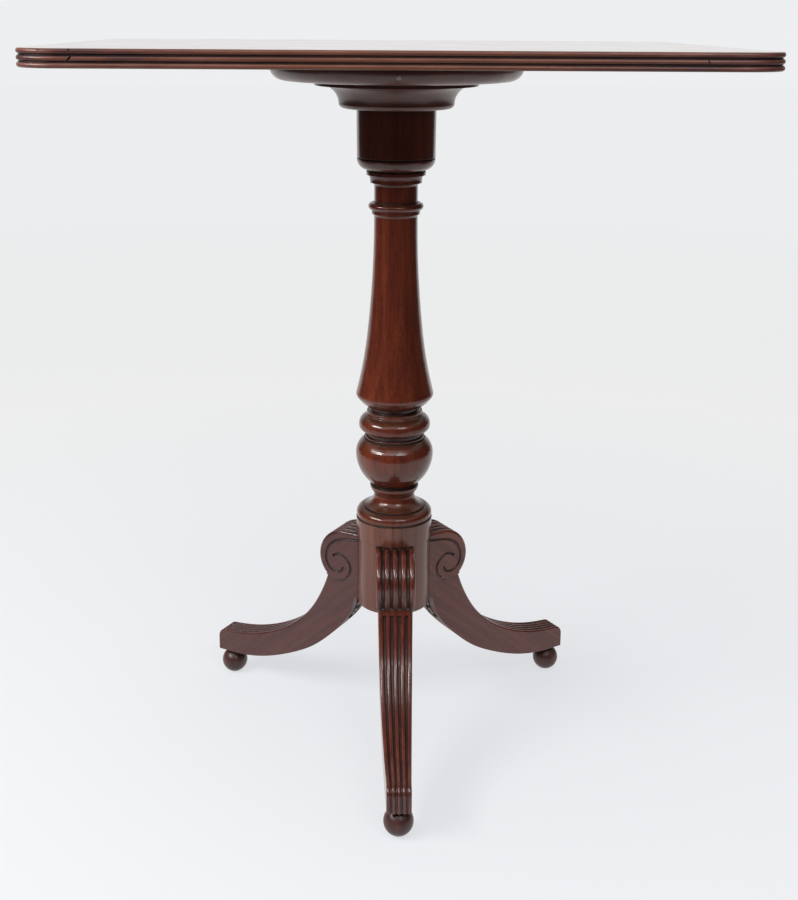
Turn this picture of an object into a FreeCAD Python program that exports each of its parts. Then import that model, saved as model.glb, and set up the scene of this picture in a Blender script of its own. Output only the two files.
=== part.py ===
import FreeCAD, Part
import math
import operator
import os
import Sketcher

# A fixed-top tripod table in mahogany. A board with a reeded edge is screwed to a turned plate and
# block, a turned column is tenoned through both, and three reeded sabre legs are dovetailed into the
# drum at the column's foot. Each leg stands on a turned ball. Z is up, the floor is at zero, the
# column's axis is the Z axis, and the front leg points along -Y. All lengths are in millimetres.

NODE_FOLDER = "parts"
LEG_DIRECTIONS = {"front": -90, "right": 30, "left": 150}
LEG_COUNT = 3
REED_COUNT = 5
EDGE_REEDS = 3
SCREWS_ROUND = 4

SIZES = {
    # the whole table
    "table_height": 720.0,
    "joint_gap": 0.1,
    "overrun": 5.0,
    # table top
    "top_width": 628.0,
    "top_depth": 480.0,
    "top_thickness": 15.6,
    "top_corner_radius": 38.0,
    "edge_reed_depth": 1.9,
    "edge_quirk": 0.9,
    "edge_band": 12.0,
    # round plate under the top
    "plate_diameter": 248.0,
    "plate_thickness": 18.4,
    "plate_fillet": 5.0,
    "plate_ovolo_inset": 12.6,
    # block under the plate
    "block_diameter": 161.0,
    "block_thickness": 27.0,
    "block_fillet": 5.0,
    "block_step": 1.6,
    "block_cavetto_inset": 22.0,
    "block_cavetto_height": 18.0,
    "block_bead_inset": 6.0,
    # column, from the top down
    "tenon_diameter": 38.0,
    "tenon_short": 0.4,
    "wedge_thickness": 5.0,
    "wedge_tip": 1.2,
    "wedge_length": 30.0,
    "wedge_width": 34.0,
    "cap_diameter": 78.8,
    "cap_height": 47.8,
    "cap_taper": 0.4,
    "quirk_depth": 1.3,
    "quirk_height": 1.5,
    "cap_ovolo_inset": 9.3,
    "cap_ovolo_height": 11.1,
    "lip_groove_depth": 1.5,
    "lip_groove_height": 1.6,
    "lip_height": 3.4,
    "lip_cove_inset": 2.2,
    "lip_cove_depth": 1.6,
    "lip_cove_height": 5.6,
    "necking_height": 2.2,
    "necking_cove_height": 3.3,
    "neck_diameter": 43.6,
    "neck_height": 16.5,
    "astragal_rise": 2.4,
    "astragal_height": 7.4,
    "bell_fillet_height": 4.0,
    "bell_cove_height": 3.1,
    "bell_diameter": 79.8,
    "bell_band": 0.8,
    "bell_roll_inset": 2.0,
    "bell_roll_height": 4.2,
    "bell_under_inset": 9.9,
    "bell_under_height": 7.6,
    "bell_groove_inset": 16.2,
    "bell_groove_height": 6.2,
    "ring_diameter": 73.8,
    "ring_fillet_inset": 8.3,
    "ring_fillet_height": 2.2,
    "ring_bead_inset": 6.6,
    "ring_bead_slope": 1.9,
    "ring_bead_height": 1.0,
    "ring_quirk_depth": 0.6,
    "ring_shoulder_height": 9.0,
    "ring_band": 1.2,
    "ring_under_inset": 5.9,
    "ring_under_height": 6.7,
    "ring_groove_inset": 8.5,
    "ring_groove_height": 4.9,
    "ball_diameter": 80.4,
    "ball_lip_inset": 9.2,
    "ball_lip_height": 1.3,
    "ball_quirk_depth": 1.0,
    "ball_quirk_height": 1.5,
    "ball_top_inset": 8.2,
    "ball_top_height": 15.8,
    "ball_foot_inset": 17.6,
    "ball_foot_height": 33.8,
    "collar_groove_depth": 3.7,
    "collar_groove_height": 2.0,
    "collar_diameter": 50.6,
    "collar_fillet": 0.5,
    "collar_ovolo_inset": 1.9,
    "collar_ovolo_height": 5.0,
    "collar_step": 0.7,
    "collar_neck_inset": 4.1,
    "collar_neck_height": 4.4,
    "base_diameter": 78.8,
    "base_cove_height": 11.9,
    "base_fillet_inset": 7.9,
    "base_fillet_height": 1.2,
    "base_quirk_depth": 0.6,
    "base_quirk_height": 0.8,
    "base_torus_height": 6.4,
    "base_band": 2.6,
    "drum_quirk_depth": 2.0,
    "drum_quirk_height": 2.2,
    "drum_ring_diameter": 79.6,
    "drum_ring_taper": 0.6,
    "drum_ring_height": 21.0,
    "drum_diameter": 76.0,
    "drum_height": 75.0,
    "drum_bottom_height": 138.0,
    # sliding dovetail of each leg
    "tongue_depth": 14.0,
    "tongue_neck": 12.0,
    "tongue_tail": 18.0,
    "tongue_height": 64.0,
    # scroll at the head of each leg
    "scroll_width": 40.0,
    "scroll_radius": 31.0,
    "scroll_reach": 50.0,
    "scroll_rise": 43.2,
    "volute_groove_radius": 1.4,
    # blade of each leg
    "blade_width": 35.2,
    "toe_width": 23.7,
    "toe_reach": 214.0,
    "toe_height": 29.4,
    "toe_thickness": 25.4,
    "nose_radius": 10.0,
    "notch_reach": 71.9,
    "notch_rise": 21.4,
    "stop_length": 5.5,
    "stop_depth": 4.0,
    "stop_shy": 0.3,
    # ball feet
    "foot_diameter": 28.6,
    "foot_reach": 210.0,
    "foot_neck_diameter": 12.0,
    "foot_flat_diameter": 7.0,
    "foot_height": 29.9,
    "foot_spigot_diameter": 9.0,
    "foot_spigot_length": 12.0,
    # iron strap under the drum
    "strap_thickness": 2.0,
    "strap_disc_diameter": 44.0,
    "strap_arm_width": 14.0,
    "strap_bend_reach": 37.5,
    "strap_tip_reach": 52.5,
    "strap_tip_drop": 31.0,
    # screws
    "boss_screw_ring": 98.0,
    "boss_screw_length": 28.0,
    "block_screw_ring": 48.0,
    "block_screw_length": 34.0,
    "strap_screw_length": 14.0,
    "screw_shank": 4.2,
    "screw_head": 8.4,
    "screw_head_high": 2.6,
    "screw_point_high": 4.0,
}

doc = FreeCAD.newDocument("occasional_table")
sheet = doc.addObject("Spreadsheet::Sheet", "Sizes")
for row, (name, number) in enumerate(SIZES.items(), start=1):
    sheet.set("A%d" % row, name)
    sheet.set("B%d" % row, str(number))
    sheet.setAlias("B%d" % row, name)
doc.recompute()


# A size knows its number and the sheet formula that the number comes from, so that a sum of sizes
# can be bound to a sketch or a placement as it stands.
class Size:
    def __init__(self, number, formula):
        self.number = number
        self.formula = formula

    def __add__(self, other):
        return combined(self, "+", other)

    def __sub__(self, other):
        return combined(self, "-", other)

    def __mul__(self, other):
        return combined(self, "*", other)

    def __truediv__(self, other):
        return combined(self, "/", other)

    def __neg__(self):
        return combined(Size(0, "0"), "-", self)

    def root(self):
        return Size(math.sqrt(self.number), "sqrt(%s)" % self.formula)


ARITHMETIC = {"+": operator.add, "-": operator.sub, "*": operator.mul, "/": operator.truediv}


def as_size(value):
    return value if isinstance(value, Size) else Size(value, repr(value))


def combined(left, sign, right):
    left, right = as_size(left), as_size(right)
    number = ARITHMETIC[sign](left.number, right.number)
    return Size(number, "(%s %s %s)" % (left.formula, sign, right.formula))


def size(name):
    return Size(float(sheet.get(name)), "Sizes." + name)


def half(name):
    return size(name) / 2


def length(name):
    return size(name).number


ZERO = Size(0, "0")
UP, ALONG, ACROSS = FreeCAD.Vector(0, 0, 1), FreeCAD.Vector(1, 0, 0), FreeCAD.Vector(0, 1, 0)


# Each step of an outline is a point and the way the edge arrives there: straight, or as an arc whose
# tangent is parallel to the axis at its start or its end, or that runs on from the arc before it, or
# that bows out by a share of its chord.
STRAIGHT, UPRIGHT_START, UPRIGHT_END, RUNS_ON = "straight", "upright start", "upright end", "runs on"
HALF_ROUND_SHARE = 0.46
CORNER_SHARE = -math.tan(math.pi / 8) / 2


def new_sketch(body, name, role):
    sketch = body.newObject("Sketcher::SketchObject", name)
    plane = [item for item in body.Origin.OriginFeatures if item.Role == role][0]
    sketch.AttachmentSupport = [(plane, "")]
    sketch.MapMode = "FlatFace"
    return sketch


def arc_through(start, end, bow):
    chord = end - start
    left = FreeCAD.Vector(-chord.y, chord.x, 0)
    return Part.Arc(start, (start + end) / 2 + left * bow, end)


def bow_of(start, end, way, last_tangent):
    chord = end - start
    if way == UPRIGHT_START:
        turn = math.atan2(abs(chord.x), abs(chord.y))
        return math.copysign(math.tan(turn / 2) / 2, -chord.x)
    if way == UPRIGHT_END:
        turn = math.atan2(abs(chord.x), abs(chord.y))
        return math.copysign(math.tan(turn / 2) / 2, chord.x)
    if way == RUNS_ON:
        turn = math.atan2(chord.y, chord.x) - math.atan2(last_tangent.y, last_tangent.x)
        return -math.tan(turn / 2) / 2
    return way


def draw(sketch, steps):
    """Draws the closed outline and ties every corner and arc to the sheet."""
    spots = [FreeCAD.Vector(x.number, y.number, 0) for x, y, way in steps]
    edges, radii, heads = [], {}, []
    tangent = None
    for index, (x, y, way) in enumerate(steps):
        start, end = spots[index - 1], spots[index]
        tangent_before, tangent = tangent, end - start
        if way == STRAIGHT:
            edges.append(Part.LineSegment(start, end))
            heads.append(2)
            continue
        bow = bow_of(start, end, way, tangent_before)
        edges.append(arc_through(start, end, bow))
        heads.append(1 if bow > 0 else 2)
        turn = FreeCAD.Rotation(FreeCAD.Vector(0, 0, 1), math.degrees(-2 * math.atan(2 * bow)))
        tangent = turn.multVec(end - start)
        if way != RUNS_ON:
            radii[index] = radius_of(x - steps[index - 1][0], y - steps[index - 1][1], way)
    sketch.addGeometry(edges, False)
    tails = [3 - head for head in heads]
    for index, head in enumerate(heads):
        follower = (index + 1) % len(edges)
        kind = "Tangent" if steps[follower][2] == RUNS_ON else "Coincident"
        sketch.addConstraint(Sketcher.Constraint(kind, index, head, follower, tails[follower]))
    for index, (x, y, way) in enumerate(steps):
        for kind, axis, value in (("DistanceX", -2, x), ("DistanceY", -1, y)):
            if value.formula == ZERO.formula:
                sketch.addConstraint(Sketcher.Constraint("PointOnObject", index, heads[index], axis))
            else:
                bind(sketch, Sketcher.Constraint(kind, -1, 1, index, heads[index], value.number), value)
    for index, radius in radii.items():
        bind(sketch, Sketcher.Constraint("Radius", index, radius.number), radius)


def radius_of(across, along, way):
    """The radius of an arc from the two parts of its chord."""
    if way in (UPRIGHT_START, UPRIGHT_END):
        return (across * across + along * along) / (across * math.copysign(2, across.number))
    return (across * across + along * along).root() * ((1 + 4 * way * way) / (8 * abs(way)))


def bind(sketch, constraint, value):
    number = sketch.addConstraint(constraint)
    sketch.setExpression("Constraints[%d]" % number, value.formula)


def new_body(name):
    body = doc.addObject("PartDesign::Body", name)
    body.Label = name
    return body


def turned(body, name, steps, kind="PartDesign::Revolution"):
    """Turns an outline round the body's Z axis, as wood in a lathe or a cutter that bores it."""
    sketch = new_sketch(body, name + "_outline", "XZ_Plane")
    draw(sketch, steps)
    feature = body.newObject(kind, name)
    feature.Profile = sketch
    feature.ReferenceAxis = (sketch, ["V_Axis"])
    feature.Angle = 360
    return feature


def padded(body, name, steps, role, depth, kind="PartDesign::Pad", both_ways=False, back=False):
    sketch = new_sketch(body, name + "_outline", role)
    draw(sketch, steps)
    feature = body.newObject(kind, name)
    feature.Profile = sketch
    feature.setExpression("Length", depth.formula)
    feature.Midplane = both_ways
    feature.Reversed = back
    return feature


def once_for_each_leg(body, feature, axis):
    """Repeats a feature round the column's axis, which is the named axis of the feature's sketch."""
    pattern = body.newObject("PartDesign::PolarPattern", feature.Name + "_round")
    pattern.Originals = [feature]
    pattern.Axis = (feature.Profile[0], [axis])
    pattern.Angle = 360
    pattern.Occurrences = LEG_COUNT
    body.Tip = pattern


def placed(piece, x=ZERO, y=ZERO, z=ZERO, turn=0):
    piece.Placement = FreeCAD.Placement(FreeCAD.Vector(), FreeCAD.Rotation(UP, turn))
    for axis, value in (("x", x), ("y", y), ("z", z)):
        piece.setExpression("Placement.Base." + axis, value.formula)
    return piece


def stacked(members, top):
    """Turns mouldings listed as radius, height and way into points, from the top down."""
    points, level = [], top
    for radius, drop, way in members:
        level = level if drop is None else level - drop
        points.append((radius, level, way))
    return points


gap = size("joint_gap")
overrun = size("overrun")

top_bottom = size("table_height") - size("top_thickness")
plate_bottom = top_bottom - size("plate_thickness")
block_bottom = plate_bottom - size("block_thickness")
bore_radius = half("tenon_diameter") + gap


# Table top: one board, its edge worked with three reeds all round.
def rounded_rectangle(side, end, radius):
    straight_side, straight_end = side - radius, end - radius
    return [
        (side, straight_end, STRAIGHT),
        (straight_side, end, CORNER_SHARE),
        (-straight_side, end, STRAIGHT),
        (-side, straight_end, CORNER_SHARE),
        (-side, -straight_end, STRAIGHT),
        (-straight_side, -end, CORNER_SHARE),
        (straight_side, -end, STRAIGHT),
        (side, -straight_end, CORNER_SHARE),
        (side, ZERO, STRAIGHT)]


def make_top():
    body = new_body("table_top_board")
    thickness = size("top_thickness")
    x, y, corner = half("top_width"), half("top_depth"), size("top_corner_radius")
    inset = size("edge_band")
    inner_corner = corner - inset

    core = rounded_rectangle(x - inset / 2, y - inset / 2, corner - inset / 2)
    padded(body, "board", core, "XY_Plane", thickness)
    path = new_sketch(body, "edge_path", "XY_Plane")
    draw(path, rounded_rectangle(x - inset, y - inset, inner_corner))
    band = new_sketch(body, "edge_band", "XZ_Plane")
    quirk, groove = size("edge_quirk"), size("edge_reed_depth")
    reed = (thickness - quirk * (EDGE_REEDS - 1)) / EDGE_REEDS
    bow = groove.number / reed.number
    steps = [(x - inset, ZERO, STRAIGHT), (x - groove, ZERO, STRAIGHT)]
    for index in range(EDGE_REEDS):
        if index:
            steps.append((x - groove, (reed + quirk) * index, STRAIGHT))
        steps.append((x - groove, reed * (index + 1) + quirk * index, -bow))
    steps.append((x - inset, thickness, STRAIGHT))
    draw(band, steps)
    pipe = body.newObject("PartDesign::AdditivePipe", "reeded_edge")
    pipe.Profile = band
    pipe.Spine = (path, ["Edge%d" % (index + 1) for index in range(len(path.Geometry))])
    return placed(body, z=top_bottom)


# Plate and block: two discs turned from flat boards, with a bore for the column's tenon. The plate has
# an ovolo edge, and the block a fillet, a cavetto and a small bead.
def make_plate():
    body = new_body("boss_plate_disc")
    radius, thickness = half("plate_diameter"), size("plate_thickness")
    turned(body, "plate_turning", [
        (bore_radius, thickness, STRAIGHT),
        (radius, thickness, STRAIGHT),
        (radius, thickness - size("plate_fillet"), STRAIGHT),
        (radius - size("plate_ovolo_inset"), ZERO, UPRIGHT_START),
        (bore_radius, ZERO, STRAIGHT)])
    return placed(body, z=plate_bottom)


BLOCK_BEAD_SHARE = 0.2


def make_block():
    body = new_body("boss_block_disc")
    radius, thickness = half("block_diameter"), size("block_thickness")
    cavetto_top = thickness - size("block_fillet")
    waist = radius - size("block_step") - size("block_cavetto_inset")
    turned(body, "block_turning", [
        (bore_radius, thickness, STRAIGHT),
        (radius, thickness, STRAIGHT),
        (radius, cavetto_top, STRAIGHT),
        (radius - size("block_step"), cavetto_top, STRAIGHT),
        (waist, cavetto_top - size("block_cavetto_height"), UPRIGHT_END),
        (waist - size("block_bead_inset"), ZERO, BLOCK_BEAD_SHARE),
        (bore_radius, ZERO, STRAIGHT)])
    return placed(body, z=block_bottom)


# Column: one turning. From the top: tenon, plain cap, quirk and ovolo, lip, neck, astragal, the long
# bell, a ring, a flattened ball, a collar, a cove and torus, and the drum that takes the legs.
BELL_KNOT_HEIGHT_SHARE = 0.335
BELL_KNOT_SPREAD_SHARE = 0.375
BELL_UNDER_BOW_SHARE = 0.05


def cap_members():
    cap = half("cap_diameter") - size("cap_taper")
    lip = cap - size("cap_ovolo_inset")
    cove = lip - size("lip_cove_inset")
    necking = cove - size("lip_cove_depth")
    neck = half("neck_diameter")
    astragal = neck + size("astragal_rise")
    return [
        (cap, size("cap_height"), STRAIGHT),
        (cap - size("quirk_depth"), None, STRAIGHT),
        (cap - size("quirk_depth"), size("quirk_height"), STRAIGHT),
        (cap, None, STRAIGHT),
        (lip, size("cap_ovolo_height"), UPRIGHT_START),
        (lip - size("lip_groove_depth"), None, STRAIGHT),
        (lip - size("lip_groove_depth"), size("lip_groove_height"), STRAIGHT),
        (lip, None, STRAIGHT),
        (lip, size("lip_height"), STRAIGHT),
        (cove, None, STRAIGHT),
        (necking, size("lip_cove_height"), UPRIGHT_END),
        (necking, size("necking_height"), STRAIGHT),
        (neck, size("necking_cove_height"), UPRIGHT_END),
        (neck, size("neck_height"), STRAIGHT),
        (astragal, None, STRAIGHT),
        (astragal, size("astragal_height"), HALF_ROUND_SHARE),
        (astragal, size("bell_fillet_height"), STRAIGHT),
        (neck, size("bell_cove_height"), UPRIGHT_END)]


def foot_members():
    bell, ring, ball = half("bell_diameter"), half("ring_diameter"), half("ball_diameter")
    collar, base = half("collar_diameter"), half("base_diameter")
    drum_ring, drum = half("drum_ring_diameter"), half("drum_diameter")
    bell_groove = bell - size("bell_groove_inset")
    ring_bead = ring - size("ring_bead_inset")
    ring_groove = ring - size("ring_groove_inset")
    ball_lip = ball - size("ball_lip_inset")
    ball_quirk = ball_lip - size("ball_quirk_depth")
    collar_groove = collar - size("collar_groove_depth")
    collar_foot = collar - size("collar_ovolo_inset")
    base_fillet = base - size("base_fillet_inset")
    base_quirk = base_fillet - size("base_quirk_depth")
    return [
        (bell, size("bell_band"), STRAIGHT),
        (bell - size("bell_roll_inset"), size("bell_roll_height"), UPRIGHT_START),
        (bell - size("bell_under_inset"), size("bell_under_height"), BELL_UNDER_BOW_SHARE),
        (bell_groove, None, STRAIGHT),
        (bell_groove, size("bell_groove_height"), STRAIGHT),
        (ring - size("ring_fillet_inset"), None, STRAIGHT),
        (ring - size("ring_fillet_inset"), size("ring_fillet_height"), STRAIGHT),
        (ring_bead, size("ring_bead_slope"), STRAIGHT),
        (ring_bead, size("ring_bead_height"), STRAIGHT),
        (ring_bead - size("ring_quirk_depth"), None, STRAIGHT),
        (ring, size("ring_shoulder_height"), UPRIGHT_END),
        (ring, size("ring_band"), STRAIGHT),
        (ring - size("ring_under_inset"), size("ring_under_height"), UPRIGHT_START),
        (ring_groove, None, STRAIGHT),
        (ring_groove, size("ring_groove_height"), STRAIGHT),
        (ball_lip, None, STRAIGHT),
        (ball_lip, size("ball_lip_height"), STRAIGHT),
        (ball_quirk, None, STRAIGHT),
        (ball_quirk, size("ball_quirk_height"), STRAIGHT),
        (ball - size("ball_top_inset"), None, STRAIGHT),
        (ball, size("ball_top_height"), UPRIGHT_END),
        (ball - size("ball_foot_inset"), size("ball_foot_height"), UPRIGHT_START),
        (collar_groove, None, STRAIGHT),
        (collar_groove, size("collar_groove_height"), STRAIGHT),
        (collar, None, STRAIGHT),
        (collar, size("collar_fillet"), STRAIGHT),
        (collar_foot, size("collar_ovolo_height"), UPRIGHT_START),
        (collar_foot - size("collar_step"), None, STRAIGHT),
        (collar - size("collar_neck_inset"), size("collar_neck_height"), STRAIGHT),
        (base_fillet, size("base_cove_height"), UPRIGHT_START),
        (base_fillet, size("base_fillet_height"), STRAIGHT),
        (base_quirk, None, STRAIGHT),
        (base_quirk, size("base_quirk_height"), STRAIGHT),
        (base, size("base_torus_height"), UPRIGHT_END),
        (base, size("base_band"), STRAIGHT),
        (drum_ring - size("drum_quirk_depth"), None, STRAIGHT),
        (drum_ring - size("drum_quirk_depth"), size("drum_quirk_height"), STRAIGHT),
        (drum_ring, None, STRAIGHT),
        (drum_ring - size("drum_ring_taper"), size("drum_ring_height"), STRAIGHT),
        (drum, None, STRAIGHT)]


def make_column():
    body = new_body("column")
    shoulder = block_bottom - size("drum_bottom_height")
    tenon_top = shoulder + size("block_thickness") + size("plate_thickness") - size("tenon_short")
    tenon, cap = half("tenon_diameter"), half("cap_diameter")
    neck, bell = half("neck_diameter"), half("bell_diameter")
    lower = foot_members()
    bell_foot = size("drum_height")
    for radius, drop, way in lower:
        bell_foot = bell_foot if drop is None else bell_foot + drop
    upper_points = stacked(cap_members(), shoulder)
    bell_top = upper_points[-1][1]
    bell_knot = bell_foot + (bell_top - bell_foot) * BELL_KNOT_HEIGHT_SHARE
    turned(body, "column_turning", [
        (ZERO, tenon_top, STRAIGHT),
        (tenon, tenon_top, STRAIGHT),
        (tenon, shoulder, STRAIGHT),
        (cap, shoulder, STRAIGHT),
        *upper_points,
        (neck + (bell - neck) * BELL_KNOT_SPREAD_SHARE, bell_knot, UPRIGHT_START),
        (bell, bell_foot, RUNS_ON),
        *stacked(lower, bell_foot),
        (half("drum_diameter"), ZERO, STRAIGHT),
        (ZERO, ZERO, STRAIGHT)])
    slot = padded(body, "leg_slot", tongue_outline(gap), "XY_Plane", size("tongue_height") + gap,
                  "PartDesign::Pocket", back=True)
    once_for_each_leg(body, slot, "N_Axis")
    padded(body, "wedge_slot", wedge_outline(tenon_top), "XZ_Plane", size("tenon_diameter") + overrun,
           "PartDesign::Pocket", both_ways=True)
    return placed(body, z=size("drum_bottom_height"), turn=LEG_DIRECTIONS["front"])


def tongue_outline(clearance):
    """A dovetail seen from above, its narrow neck at the drum's surface, for a leg that lies along X."""
    neck, tail = half("tongue_neck") + clearance, half("tongue_tail") + clearance
    outside = half("drum_diameter") + overrun
    inside = half("drum_diameter") - size("tongue_depth") - clearance
    spread = (tail - neck) / size("tongue_depth")
    outer = neck - spread * overrun
    return [(outside, -outer, STRAIGHT), (outside, outer, STRAIGHT), (inside, tail, STRAIGHT),
            (inside, -tail, STRAIGHT)]


def wedge_outline(top):
    wide, tip = half("wedge_thickness"), half("wedge_tip")
    bottom = top - size("wedge_length")
    return [(-wide, top, STRAIGHT), (-tip, bottom, STRAIGHT), (tip, bottom, STRAIGHT), (wide, top, STRAIGHT)]


# Wedge: a thin taper driven into the tenon's top, which spreads it in the bore.
def make_wedge():
    body = new_body("tenon_wedge")
    top = plate_bottom + size("plate_thickness") - size("tenon_short")
    padded(body, "wedge", wedge_outline(top), "XZ_Plane", size("wedge_width"), both_ways=True)
    return placed(body, turn=LEG_DIRECTIONS["front"])


# Legs. Each is sawn to a sabre curve and tapered, and its outer face is worked into five reeds that
# begin on a scroll under the drum's ledge, stop at a notch, and run on down the blade and over the nose.
# The leg lies along X here, and its frame is the table's.
REED_DEPTH_SHARE = 0.072
QUIRK_SHARE = 0.05
SCROLL_END_ANGLE = 135.0
LEG_COPE_SHARE = 0.7
HEAD_DEPTH_SHARE = 1.5
ROOT_DEPTH_SHARE = 0.1
# the roll inside the scroll, and the foot of the slope behind it, as shares of the scroll's radius
ROLL_OUT_SHARE = 0.306
ROLL_DROP_SHARE = 0.194
ROLL_RADIUS_SHARE = 0.645
SLOPE_FOOT_SHARE = 0.88
# the roll turns on under the scroll from the notch, which these angles from the crown give
ROLL_START_ANGLE = 142.0
ROLL_SWEEP_ANGLE = 165.0
# stations of the blade from the notch to the nose, as shares of its reach and rise
BLADE_BACK_SHARES = [(0.0, 1.0), (0.047, 0.824), (0.119, 0.633), (0.211, 0.463), (0.339, 0.303),
                     (0.502, 0.168), (0.673, 0.075), (0.844, 0.021), (1.0, 0.0)]
BLADE_BELLY_SHARES = [(0.0, 1.0), (0.030, 0.843), (0.109, 0.648), (0.232, 0.448), (0.360, 0.294),
                      (0.530, 0.157), (0.693, 0.062), (0.851, 0.011), (1.0, 0.0)]
BAND_GROOVE_SHARES = [(-0.71, 0.79), (-0.22, 0.73), (0.18, 0.655), (0.49, 0.48), (0.69, 0.09),
                      (0.65, -0.31), (0.45, -0.505), (0.20, -0.53), (0.02, -0.32)]
EYE_GROOVE_SHARES = [(0.44, 0.0), (0.30, 0.105), (0.12, 0.135), (-0.08, 0.02), (-0.24, -0.17),
                     (-0.26, -0.44), (-0.10, -0.70)]


def point(x, y, z):
    return FreeCAD.Vector(x, y, z)


def reeded_section(outer, inward, width, depth):
    """A closed section: reeds with quirks between them on the outer edge, and a flat inner edge."""
    groove = inward * (width * REED_DEPTH_SHARE)
    quirk = width * QUIRK_SHARE
    reed = (width - quirk * (REED_COUNT - 1)) / REED_COUNT
    edges = []
    for index in range(REED_COUNT):
        left = outer + groove + ACROSS * ((reed + quirk) * index - width / 2)
        right = left + ACROSS * reed
        edges.append(Part.Arc(left, (left + right) / 2 - groove, right).toShape())
        if index < REED_COUNT - 1:
            edges.append(Part.makeLine(right, right + ACROSS * quirk))
    deep = outer + inward * depth
    side = ACROSS * (width / 2)
    corners = [outer + groove + side, deep + side, deep - side, outer + groove - side]
    edges += [Part.makeLine(start, end) for start, end in zip(corners, corners[1:])]
    return Part.Wire(edges)


def prism(corners, width):
    """A flat outline of (reach, height) corners in the leg's own plane, given the leg's width."""
    spots = [point(x, -width / 2, z) for x, z in corners]
    return Part.Face(Part.makePolygon(spots + spots[:1])).extrude(ACROSS * width)


def scroll_centre():
    return point(length("scroll_reach"), 0, length("drum_bottom_height") + length("scroll_rise"))


def level_outline(near, far, height, width):
    """A rectangle at one height, from near to far along the leg and centred across it."""
    corners = [point(near, -width / 2, height), point(far, -width / 2, height),
               point(far, width / 2, height), point(near, width / 2, height)]
    return Part.makePolygon(corners + corners[:1])


def make_scroll():
    centre, radius, width = scroll_centre(), length("scroll_radius"), length("scroll_width")
    crown = centre + UP * radius
    rolled = Part.Face(reeded_section(crown, -UP, width, radius)).revolve(centre, ACROSS, SCROLL_END_ANGLE)
    root_reach = length("drum_diameter") / 2 * LEG_COPE_SHARE
    head_depth = radius * HEAD_DEPTH_SHARE
    head = Part.Face(reeded_section(crown, -UP, width, head_depth)).extrude(ALONG * (root_reach - centre.x))
    hub = centre + ALONG * (radius * ROLL_OUT_SHARE) - UP * (radius * ROLL_DROP_SHARE)
    roll = Part.makeCylinder(radius * ROLL_RADIUS_SHARE, width, hub - ACROSS * (width / 2), ACROSS,
                             ROLL_SWEEP_ANGLE)
    roll.rotate(hub, ACROSS, ROLL_START_ANGLE)
    levels = [(crown.z - head_depth, width), (centre.z - radius * SLOPE_FOOT_SHARE, length("blade_width"))]
    slope = Part.makeLoft([level_outline(root_reach, centre.x, height, wide) for height, wide in levels],
                          True, True)
    return [rolled, head, roll, slope]


def blade_stations():
    """Pairs of points on the back and the belly of the blade, from the notch down to the nose."""
    drum_bottom = length("drum_bottom_height")
    toe_reach, toe_bottom = length("toe_reach"), length("toe_height")
    toe_top = toe_bottom + length("toe_thickness")
    notch = point(length("notch_reach"), 0, drum_bottom + length("notch_rise"))
    heel = point(length("drum_diameter") / 2, 0, drum_bottom)
    backs = [point(notch.x + (toe_reach - notch.x) * out, 0, toe_top + (notch.z - toe_top) * rise)
             for out, rise in BLADE_BACK_SHARES]
    bellies = [point(heel.x + (toe_reach - heel.x) * out, 0, toe_bottom + (heel.z - toe_bottom) * rise)
               for out, rise in BLADE_BELLY_SHARES]
    return list(zip(backs, bellies))


def make_blade():
    stations = blade_stations()
    notch, toe = stations[0][0], stations[-1][0]
    wide, narrow = length("blade_width"), length("toe_width")
    sections = []
    for back, belly in stations:
        width = wide + (narrow - wide) * (back.x - notch.x) / (toe.x - notch.x)
        inward = belly - back
        sections.append(reeded_section(back, FreeCAD.Vector(inward).normalize(), width, inward.Length))
    blade = Part.makeLoft(sections, True, False)
    heel = stations[0][1]
    root_reach = heel.x * LEG_COPE_SHARE
    shy = notch + (heel - notch) * ROOT_DEPTH_SHARE
    centre = scroll_centre()
    root = prism([(root_reach, heel.z), (heel.x, heel.z), (shy.x, shy.z), (centre.x, centre.z),
                  (root_reach, centre.z)], wide)
    return [blade, root, make_stop(stations)]


def make_stop(stations):
    """The plain band under the notch, where the grooves between the reeds stop short of the scroll."""
    notch, below = stations[0][0], stations[1][0]
    along = FreeCAD.Vector(below - notch).normalize()
    inward = point(along.z, 0, -along.x)
    start = notch + inward * length("stop_shy")
    end = start + along * length("stop_length")
    deep = inward * length("stop_depth")
    width = length("blade_width")
    reed = width * (1 - QUIRK_SHARE * (REED_COUNT - 1)) / REED_COUNT
    return prism([(spot.x, spot.z) for spot in (start, end, end + deep, start + deep)], width - reed)


def make_nose():
    toe_top = length("toe_height") + length("toe_thickness")
    radius, width = length("nose_radius"), length("toe_width")
    hub = point(length("toe_reach"), 0, toe_top - radius)
    rolled = Part.Face(reeded_section(hub + UP * radius, -UP, width, radius)).revolve(hub, ACROSS, 90)
    front = Part.Face(reeded_section(hub + ALONG * radius, -ALONG, width, radius))
    return [rolled, front.extrude(-UP * (hub.z - length("toe_height")))]


def make_tongue():
    corners = [point(x.number, y.number, length("drum_bottom_height")) for x, y, way in tongue_outline(ZERO)]
    return Part.Face(Part.makePolygon(corners + corners[:1])).extrude(UP * length("tongue_height"))


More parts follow.
